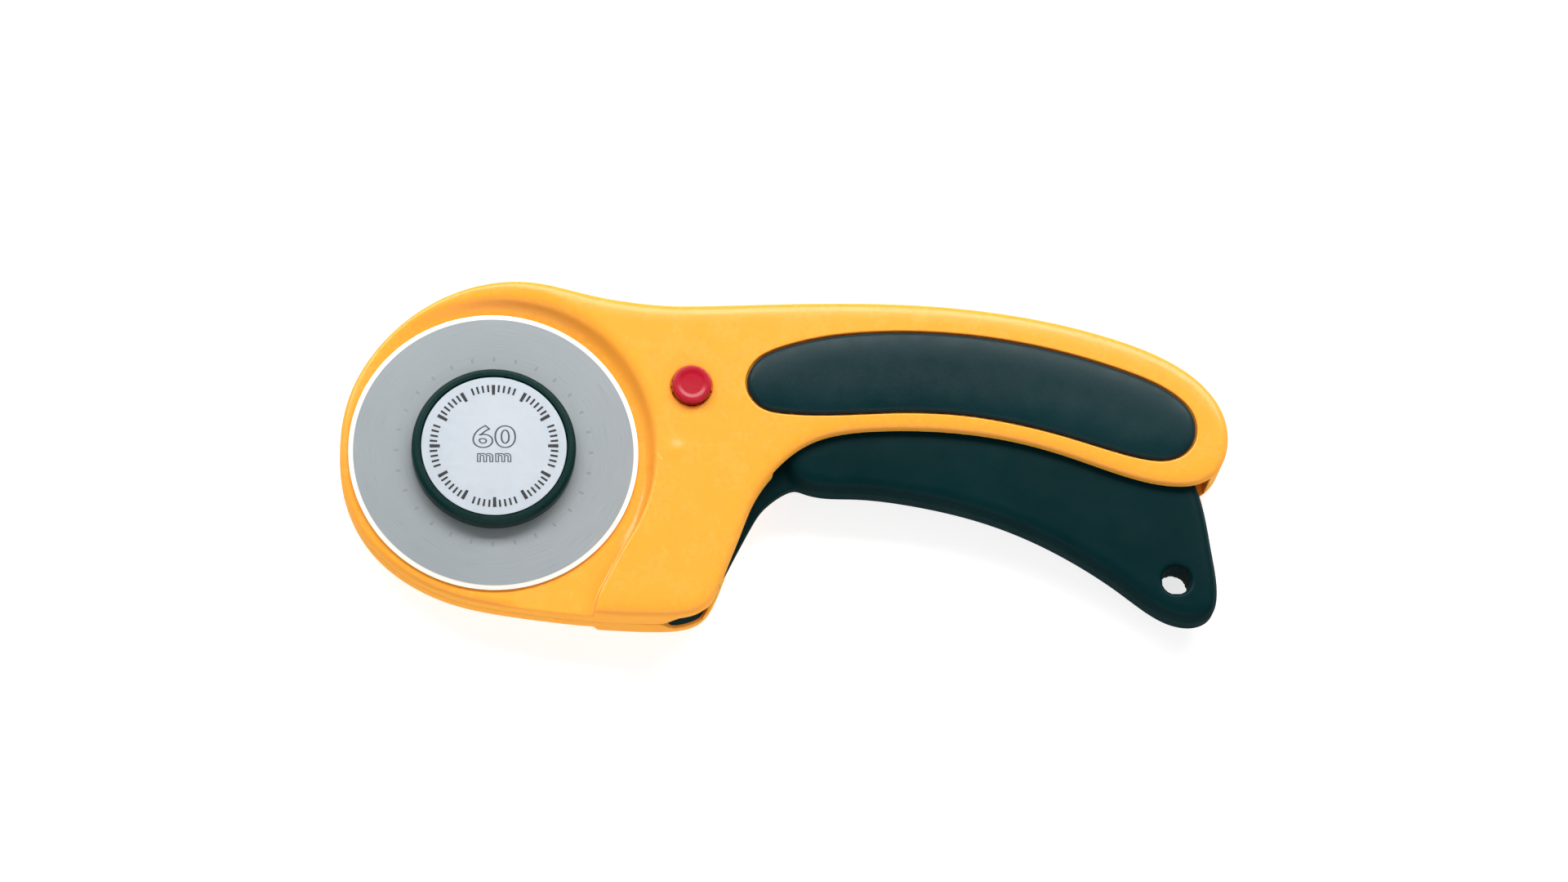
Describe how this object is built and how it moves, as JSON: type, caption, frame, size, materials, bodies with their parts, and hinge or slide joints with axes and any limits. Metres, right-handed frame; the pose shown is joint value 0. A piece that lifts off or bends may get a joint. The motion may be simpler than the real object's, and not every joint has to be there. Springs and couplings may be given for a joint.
{
  "type": "rotary cutter",
  "caption": "Rotary cutter with a squeeze trigger that swings its round blade out past the guard, a round hub nut, a sliding cross-bolt lock and rubber grip inlays",
  "frame": {"origin": "centre of the base of the bounding box: the cutter lies on its back", "axes": "+X runs from the blade to the tail of the handle, +Y to the thumb side of the handle, +Z out of the blade side"},
  "size_m": [0.1852, 0.074, 0.0163],
  "materials": {
    "yellow_shell": "moulded, satin",
    "grip_rubber": "matte, fine texture",
    "lever_plastic": "moulded, satin",
    "hub_plastic": "moulded, satin",
    "blade_steel": "ground, fine satin, bright bevel",
    "steel_parts": "zinc plated",
    "spring_steel": "drawn wire",
    "brass_parts": "turned",
    "label_silver": "printed satin foil",
    "lock_red": "moulded, gloss"
  },
  "bodies": {
    "body": {"front_shell": "yellow_shell", "back_shell": "yellow_shell", "front_grip_inlay": "grip_rubber", "back_grip_inlay": "grip_rubber", "pivot_pin": "steel_parts", "return_spring": "spring_steel", "lock_detent_ball": "steel_parts", "lock_detent_spring": "spring_steel", "shell_screw_1": "steel_parts", "shell_screw_2": "steel_parts", "shell_screw_3": "steel_parts", "shell_screw_4": "steel_parts", "shell_screw_5": "steel_parts"},
    "lever": {"trigger_lever": "lever_plastic", "axle_bolt": "steel_parts", "back_washer": "steel_parts", "axle_collar": "brass_parts", "spring_washer": "spring_steel"},
    "blade": {"blade": "blade_steel"},
    "nut": {"hub_nut": "hub_plastic", "nut_insert": "brass_parts", "nut_label": "label_silver"},
    "lock": {"lock_button": "lock_red", "lock_rear_cap": "hub_plastic"}
  },
  "joints": [
    {"name": "trigger_squeeze", "type": "hinge", "parent": "body", "child": "lever", "pos_m": [-0.02388, -0.02962, 0.0075], "axis": [0, 0, 1], "range_deg": [0, 7], "stiffness_Nm_per_rad": 1, "springref_deg": -2.86},
    {"name": "blade_spin", "type": "hinge", "parent": "lever", "child": "blade", "pos_m": [-0.06087, -0.00012, 0.01145], "axis": [0, 0, 1], "continuous": true},
    {"name": "nut_turn", "type": "hinge", "parent": "lever", "child": "nut", "pos_m": [-0.06087, -0.00012, 0.0136], "axis": [0, 0, 1], "continuous": true},
    {"name": "lock_slide", "type": "slide", "parent": "body", "child": "lock", "axis": [0, 0, 1], "range_m": [-0.0018, 0]}
  ]
}
